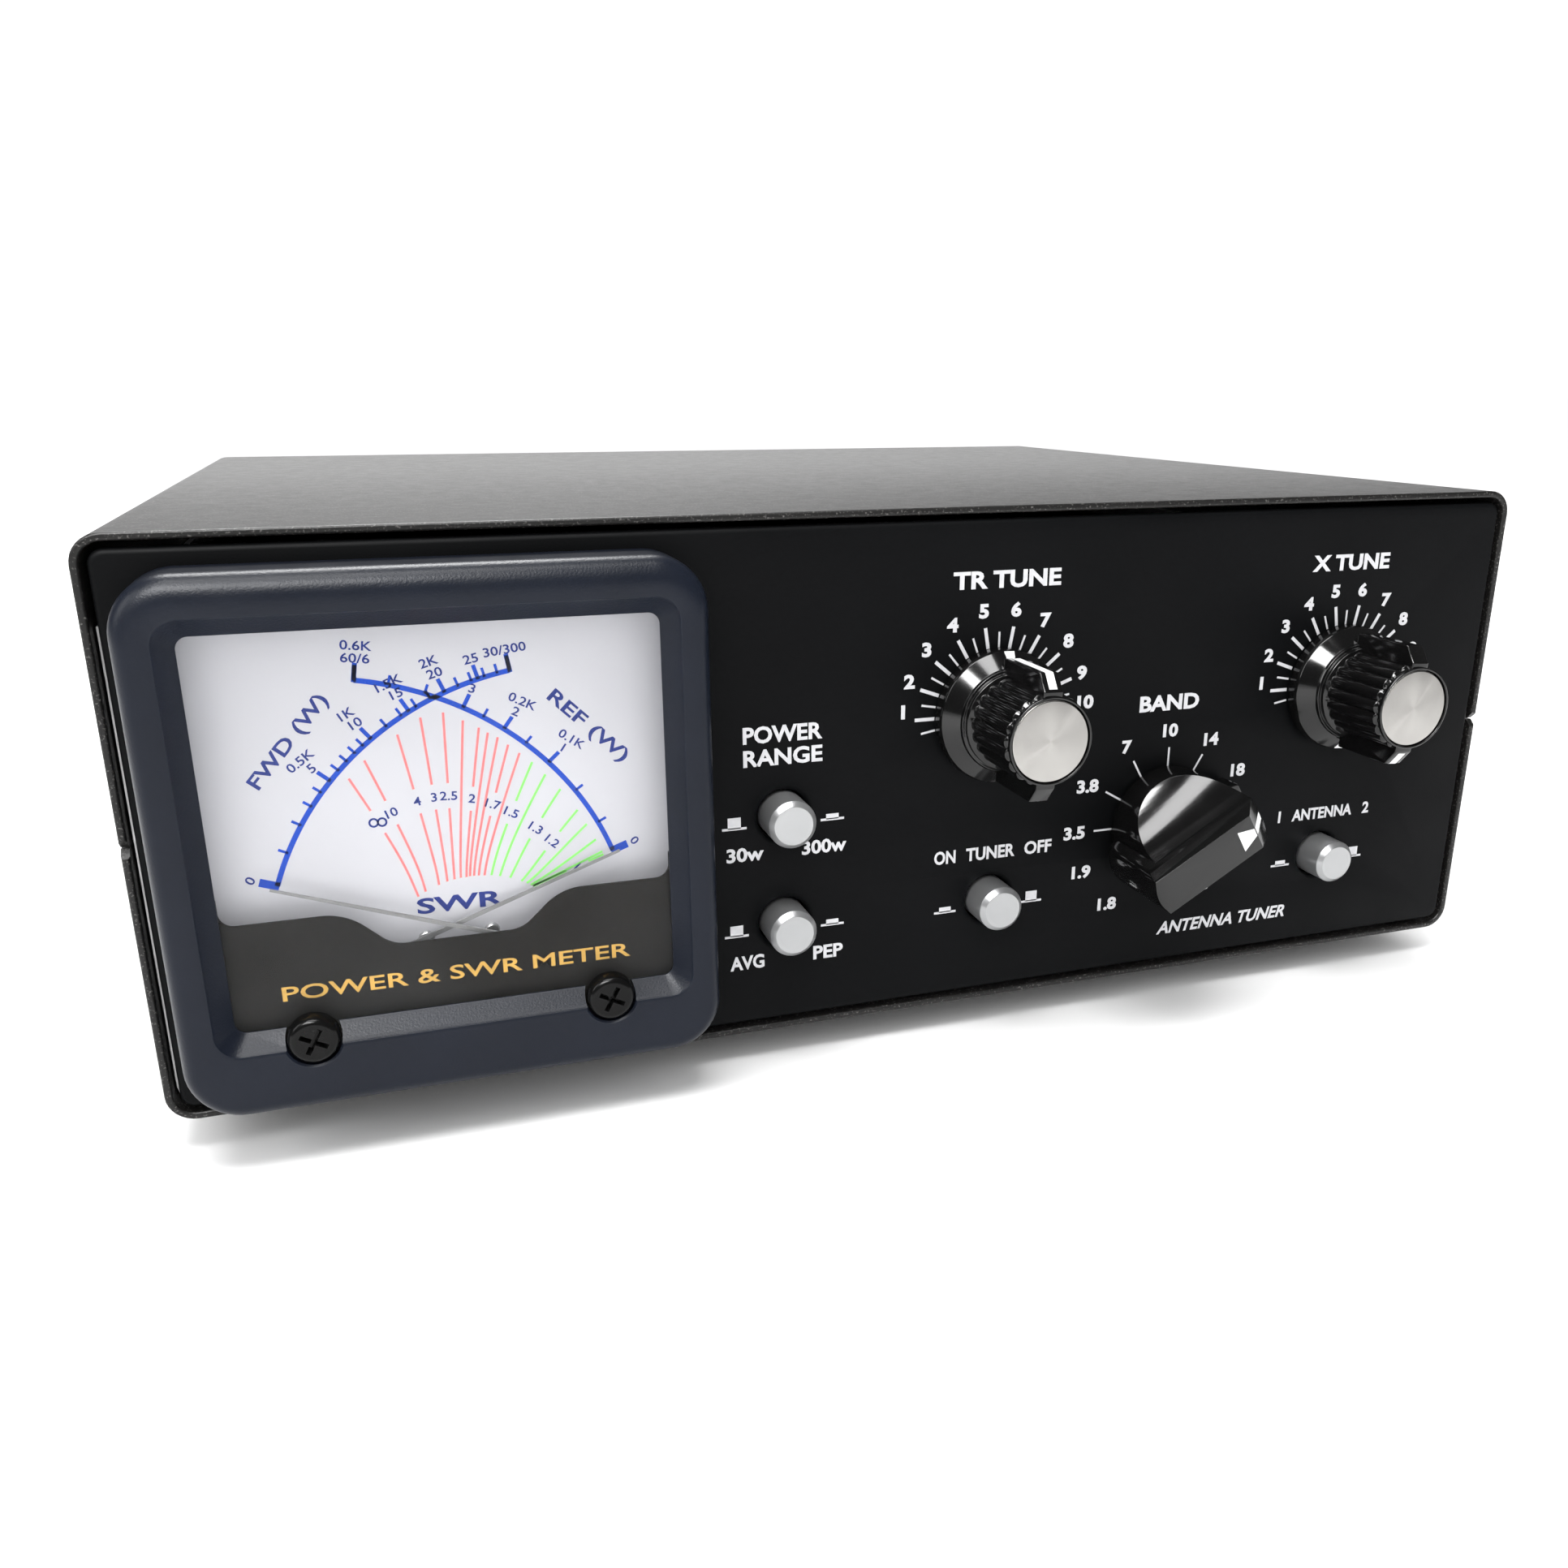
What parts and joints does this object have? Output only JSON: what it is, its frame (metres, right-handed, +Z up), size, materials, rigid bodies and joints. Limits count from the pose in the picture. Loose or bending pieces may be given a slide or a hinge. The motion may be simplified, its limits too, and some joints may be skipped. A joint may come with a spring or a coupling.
{
  "type": "antenna tuner",
  "caption": "Desktop antenna tuner in a metal case, with a cross-needle power meter, tuning knobs, a band switch, push buttons and rear coaxial sockets.",
  "frame": {"origin": "on the surface that the feet stand on, under the middle of the bounding box", "axes": "+X to the right seen from the front, the front panel faces -Y, +Z up"},
  "size_m": [0.2528, 0.2418, 0.0968],
  "materials": {
    "cover_paint": "fine textured black-grey paint",
    "panel_paint": "satin black paint",
    "sheet_metal": "plain folded sheet",
    "bezel_plastic": "satin moulded plastic",
    "clear_acrylic": "clear and polished",
    "mask_print": "satin printed",
    "dial_print": "matt printed",
    "plated_steel": "zinc plated",
    "needle_black": "fine black needle",
    "black_plastic": "moulded",
    "knob_plastic": "glossy moulded plastic",
    "spun_aluminium": "spun, radial highlights",
    "capacitor_metal": "bright aluminium plates",
    "button_silver": "silver plated",
    "foot_rubber": "matt",
    "black_screw": "black oxide",
    "phenolic": "insulating resin",
    "copper_wire": "enamelled copper wire",
    "circuit_board": "green fibreglass board",
    "nickel_plate": "nickel plated",
    "brass_nut": "knurled brass"
  },
  "bodies": {
    "case": {"front_panel": "panel_paint", "rear_panel": "panel_paint", "chassis": "sheet_metal", "top_cover": "cover_paint", "bottom_cover": "cover_paint", "meter_bezel": "bezel_plastic", "meter_window": "clear_acrylic", "meter_mask": "mask_print", "meter_scale_plate": "dial_print", "meter_case": "bezel_plastic", "meter_lamp": "clear_acrylic", "meter_movement": "plated_steel", "band_switch_wafers": "phenolic", "main_coil": "copper_wire", "coil_saddle": "phenolic", "coupler_board": "circuit_board", "coupler_toroid": "copper_wire", "dc_power_jack": "black_plastic", "ground_post": "nickel_plate", "transmitter_capacitor_stator": "capacitor_metal", "transmitter_capacitor_frame": "capacitor_metal", "antenna_capacitor_stator": "capacitor_metal", "antenna_capacitor_frame": "capacitor_metal", "power_range_switch": "black_plastic", "meter_mode_switch": "black_plastic", "tuner_bypass_switch": "black_plastic", "antenna_select_switch": "black_plastic", "foot_front_left": "foot_rubber", "top_cover_screw_front_left": "black_screw", "foot_front_right": "foot_rubber", "top_cover_screw_front_right": "black_screw", "foot_rear_left": "foot_rubber", "top_cover_screw_rear_left": "black_screw", "foot_rear_right": "foot_rubber", "top_cover_screw_rear_right": "black_screw", "bottom_cover_screw_left": "black_screw", "bottom_cover_screw_right": "black_screw", "transmitter_jack": "nickel_plate", "transmitter_jack_insert": "phenolic", "antenna_1_jack": "nickel_plate", "antenna_1_jack_insert": "phenolic", "antenna_2_jack": "nickel_plate", "antenna_2_jack_insert": "phenolic"},
    "transmitter_tune": {"transmitter_tune_knob": "knob_plastic", "transmitter_tune_knob_cap": "spun_aluminium", "transmitter_capacitor_rotor": "capacitor_metal"},
    "antenna_tune": {"antenna_tune_knob": "knob_plastic", "antenna_tune_knob_cap": "spun_aluminium", "antenna_capacitor_rotor": "capacitor_metal"},
    "band_selector": {"band_knob": "knob_plastic", "band_switch_rotor": "plated_steel"},
    "power_range": {"power_range_button": "button_silver"},
    "meter_mode": {"meter_mode_button": "button_silver"},
    "tuner_bypass": {"tuner_bypass_button": "button_silver"},
    "antenna_select": {"antenna_select_button": "button_silver"},
    "forward_pointer": {"forward_needle": "needle_black"},
    "reflected_pointer": {"reflected_needle": "needle_black"},
    "forward_adjuster": {"forward_zero_adjuster": "black_plastic"},
    "reflected_adjuster": {"reflected_zero_adjuster": "black_plastic"},
    "thumb_nut": {"ground_thumb_nut": "brass_nut"}
  },
  "joints": [
    {"name": "transmitter_tune_turn", "type": "hinge", "parent": "case", "child": "transmitter_tune", "pos_m": [0.0161, -0.1001, 0.0608], "axis": [0, 1, 0], "continuous": true},
    {"name": "antenna_tune_turn", "type": "hinge", "parent": "case", "child": "antenna_tune", "pos_m": [0.0894, -0.1001, 0.0608], "axis": [0, 1, 0], "continuous": true},
    {"name": "band_turn", "type": "hinge", "parent": "case", "child": "band_selector", "pos_m": [0.0524, -0.1001, 0.0365], "axis": [0, 1, 0], "range_deg": [-210, 90]},
    {"name": "power_range_press", "type": "slide", "parent": "case", "child": "power_range", "axis": [0, 1, 0], "range_m": [0, 0.003], "stiffness_N_per_m": 400, "springref_m": -0.002},
    {"name": "meter_mode_press", "type": "slide", "parent": "case", "child": "meter_mode", "axis": [0, 1, 0], "range_m": [0, 0.003], "stiffness_N_per_m": 400, "springref_m": -0.002},
    {"name": "tuner_bypass_press", "type": "slide", "parent": "case", "child": "tuner_bypass", "axis": [0, 1, 0], "range_m": [0, 0.003], "stiffness_N_per_m": 400, "springref_m": -0.002},
    {"name": "antenna_select_press", "type": "slide", "parent": "case", "child": "antenna_select", "axis": [0, 1, 0], "range_m": [0, 0.003], "stiffness_N_per_m": 400, "springref_m": -0.002},
    {"name": "forward_pointer_swing", "type": "hinge", "parent": "case", "child": "forward_pointer", "pos_m": [-0.0598, -0.1047, 0.028], "axis": [0, 1, 0], "range_deg": [0, 63], "stiffness_Nm_per_rad": 0.0001, "springref_deg": -2.86},
    {"name": "reflected_pointer_swing", "type": "hinge", "parent": "case", "child": "reflected_pointer", "pos_m": [-0.0978, -0.1037, 0.028], "axis": [0, -1, 0], "range_deg": [0, 63], "stiffness_Nm_per_rad": 0.0001, "springref_deg": -2.86},
    {"name": "forward_adjuster_turn", "type": "hinge", "parent": "case", "child": "forward_adjuster", "pos_m": [-0.10145, -0.1111, 0.0215], "axis": [0, 1, 0], "continuous": true},
    {"name": "reflected_adjuster_turn", "type": "hinge", "parent": "case", "child": "reflected_adjuster", "pos_m": [-0.05615, -0.1111, 0.0215], "axis": [0, 1, 0], "continuous": true},
    {"name": "thumb_nut_turn", "type": "hinge", "parent": "case", "child": "thumb_nut", "pos_m": [-0.105, 0.1079, 0.0295], "axis": [0, 1, 0], "range_deg": [0, 1080]}
  ]
}
